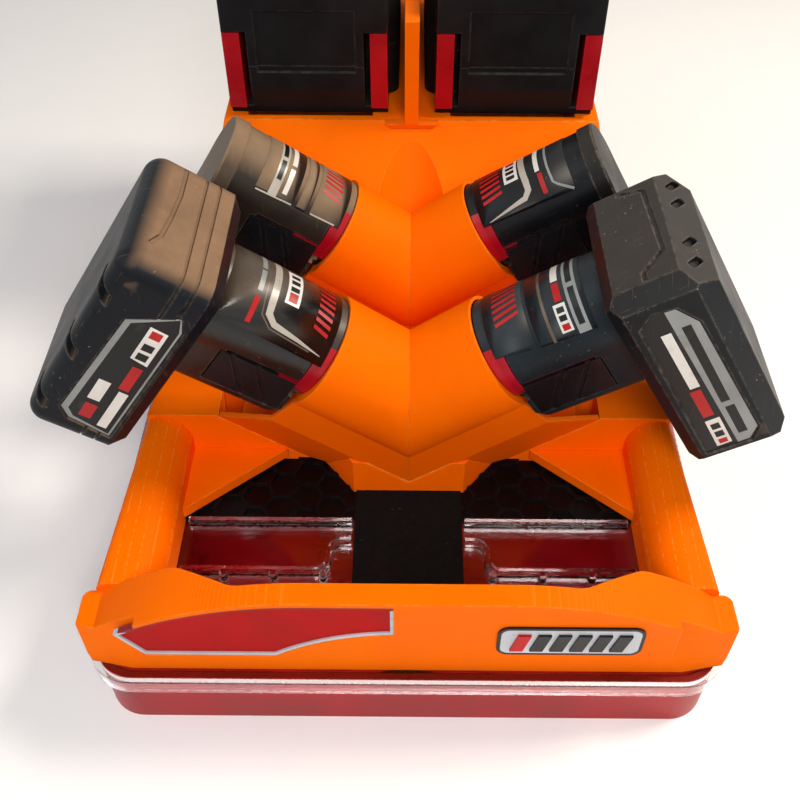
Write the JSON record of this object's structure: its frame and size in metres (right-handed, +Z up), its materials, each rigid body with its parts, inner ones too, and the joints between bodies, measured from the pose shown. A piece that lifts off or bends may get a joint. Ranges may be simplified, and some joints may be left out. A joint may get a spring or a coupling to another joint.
{
  "type": "battery caddy",
  "caption": "Printed caddy on a clear-lidded bin tray: leaning sockets hold stem battery packs, a raised rear dock holds slide packs, a framed window faces the front bumper.",
  "frame": {"origin": "centre of the tray's underside", "axes": "+X to the viewer's right, +Y to the rear, +Z up"},
  "size_m": [0.2923, 0.3918, 0.1944],
  "materials": {
    "print_orange": "satin printed layers",
    "tray_red": "moulded satin",
    "bin_red": "moulded satin",
    "lid_clear": "clear moulded polycarbonate",
    "mat_black": "fine matt",
    "tongue_felt": "coarse matt",
    "plate_red": "satin",
    "badge_silver": "silver satin",
    "badge_dark": "satin",
    "badge_red": "satin",
    "latch_red": "moulded gloss",
    "pack_shell": "moulded satin",
    "pack_base": "fine moulded grain",
    "slide_pack_shell": "fine moulded grain"
  },
  "bodies": {
    "caddy": {"badge_plate": "badge_silver", "badge_rim": "badge_dark", "bin_front_left": "bin_red", "bin_front_right": "bin_red", "bin_rear_left": "bin_red", "bin_rear_right": "bin_red", "bin_tray": "tray_red", "charge_bar_low": "badge_red", "charge_bars": "badge_dark", "clear_lid": "lid_clear", "deck": "print_orange", "dock_divider": "print_orange", "front_bumper": "print_orange", "gusset_left": "print_orange", "gusset_right": "print_orange", "honeycomb_mat": "mat_black", "mat_tongue": "tongue_felt", "name_plate": "plate_red", "plate_bezel": "badge_silver", "rail_left": "print_orange", "rail_right": "print_orange", "rear_dock": "print_orange", "socket_front_left": "print_orange", "socket_front_right": "print_orange", "socket_rear_left": "print_orange", "socket_rear_right": "print_orange"},
    "pack_front_left": {"pack_front_left_shell": "pack_shell", "pack_front_left_base": "pack_base"},
    "pack_front_left_latch_a": {"pack_front_left_latch_a": "latch_red"},
    "pack_front_left_latch_b": {"pack_front_left_latch_b": "latch_red"},
    "pack_front_right": {"pack_front_right_shell": "pack_shell", "pack_front_right_base": "pack_base"},
    "pack_front_right_latch_a": {"pack_front_right_latch_a": "latch_red"},
    "pack_front_right_latch_b": {"pack_front_right_latch_b": "latch_red"},
    "pack_rear_left": {"pack_rear_left_shell": "pack_shell", "pack_rear_left_base": "pack_base"},
    "pack_rear_left_latch_a": {"pack_rear_left_latch_a": "latch_red"},
    "pack_rear_left_latch_b": {"pack_rear_left_latch_b": "latch_red"},
    "pack_rear_right": {"pack_rear_right_shell": "pack_shell", "pack_rear_right_base": "pack_base"},
    "pack_rear_right_latch_a": {"pack_rear_right_latch_a": "latch_red"},
    "pack_rear_right_latch_b": {"pack_rear_right_latch_b": "latch_red"},
    "slide_pack_left": {"slide_pack_left_lower": "slide_pack_shell", "slide_pack_left_upper": "slide_pack_shell"},
    "slide_pack_left_button_left": {"slide_pack_left_button_left": "latch_red"},
    "slide_pack_left_button_right": {"slide_pack_left_button_right": "latch_red"},
    "slide_pack_right": {"slide_pack_right_lower": "slide_pack_shell", "slide_pack_right_upper": "slide_pack_shell"},
    "slide_pack_right_button_left": {"slide_pack_right_button_left": "latch_red"},
    "slide_pack_right_button_right": {"slide_pack_right_button_right": "latch_red"}
  },
  "joints": [
    {"name": "pack_front_left_pull", "type": "slide", "parent": "caddy", "child": "pack_front_left", "axis": [-0.8121, 0, 0.5835], "range_m": [0, 0.055]},
    {"name": "pack_front_left_latch_a_press", "type": "slide", "parent": "pack_front_left", "child": "pack_front_left_latch_a", "axis": [0, 1, 0], "range_m": [0, 0.0015], "stiffness_N_per_m": 500},
    {"name": "pack_front_left_latch_b_press", "type": "slide", "parent": "pack_front_left", "child": "pack_front_left_latch_b", "axis": [0, -1, 0], "range_m": [0, 0.0015], "stiffness_N_per_m": 500},
    {"name": "pack_front_right_pull", "type": "slide", "parent": "caddy", "child": "pack_front_right", "axis": [0.8121, 0, 0.5835], "range_m": [0, 0.055]},
    {"name": "pack_front_right_latch_a_press", "type": "slide", "parent": "pack_front_right", "child": "pack_front_right_latch_a", "axis": [0, 1, 0], "range_m": [0, 0.0015], "stiffness_N_per_m": 500},
    {"name": "pack_front_right_latch_b_press", "type": "slide", "parent": "pack_front_right", "child": "pack_front_right_latch_b", "axis": [0, -1, 0], "range_m": [0, 0.0015], "stiffness_N_per_m": 500},
    {"name": "pack_rear_left_pull", "type": "slide", "parent": "caddy", "child": "pack_rear_left", "axis": [-0.8121, 0, 0.5835], "range_m": [0, 0.055]},
    {"name": "pack_rear_left_latch_a_press", "type": "slide", "parent": "pack_rear_left", "child": "pack_rear_left_latch_a", "axis": [-0.1059, 0.9816, -0.1587], "range_m": [0, 0.0015], "stiffness_N_per_m": 500},
    {"name": "pack_rear_left_latch_b_press", "type": "slide", "parent": "pack_rear_left", "child": "pack_rear_left_latch_b", "axis": [0.1059, -0.9816, 0.1587], "range_m": [0, 0.0015], "stiffness_N_per_m": 500},
    {"name": "pack_rear_right_pull", "type": "slide", "parent": "caddy", "child": "pack_rear_right", "axis": [0.8121, 0, 0.5835], "range_m": [0, 0.055]},
    {"name": "pack_rear_right_latch_a_press", "type": "slide", "parent": "pack_rear_right", "child": "pack_rear_right_latch_a", "axis": [0.0988, 0.9816, -0.1632], "range_m": [0, 0.0015], "stiffness_N_per_m": 500},
    {"name": "pack_rear_right_latch_b_press", "type": "slide", "parent": "pack_rear_right", "child": "pack_rear_right_latch_b", "axis": [-0.0988, -0.9816, 0.1632], "range_m": [0, 0.0015], "stiffness_N_per_m": 500},
    {"name": "slide_pack_left_slide", "type": "slide", "parent": "caddy", "child": "slide_pack_left", "axis": [0, -1, 0], "range_m": [0, 0.036]},
    {"name": "slide_pack_left_button_left_press", "type": "slide", "parent": "slide_pack_left", "child": "slide_pack_left_button_left", "axis": [1, 0, 0], "range_m": [0, 0.0025], "stiffness_N_per_m": 500},
    {"name": "slide_pack_left_button_right_press", "type": "slide", "parent": "slide_pack_left", "child": "slide_pack_left_button_right", "axis": [-1, 0, 0], "range_m": [0, 0.0025], "stiffness_N_per_m": 500},
    {"name": "slide_pack_right_slide", "type": "slide", "parent": "caddy", "child": "slide_pack_right", "axis": [0, -1, 0], "range_m": [0, 0.036]},
    {"name": "slide_pack_right_button_left_press", "type": "slide", "parent": "slide_pack_right", "child": "slide_pack_right_button_left", "axis": [1, 0, 0], "range_m": [0, 0.0025], "stiffness_N_per_m": 500},
    {"name": "slide_pack_right_button_right_press", "type": "slide", "parent": "slide_pack_right", "child": "slide_pack_right_button_right", "axis": [-1, 0, 0], "range_m": [0, 0.0025], "stiffness_N_per_m": 500}
  ]
}
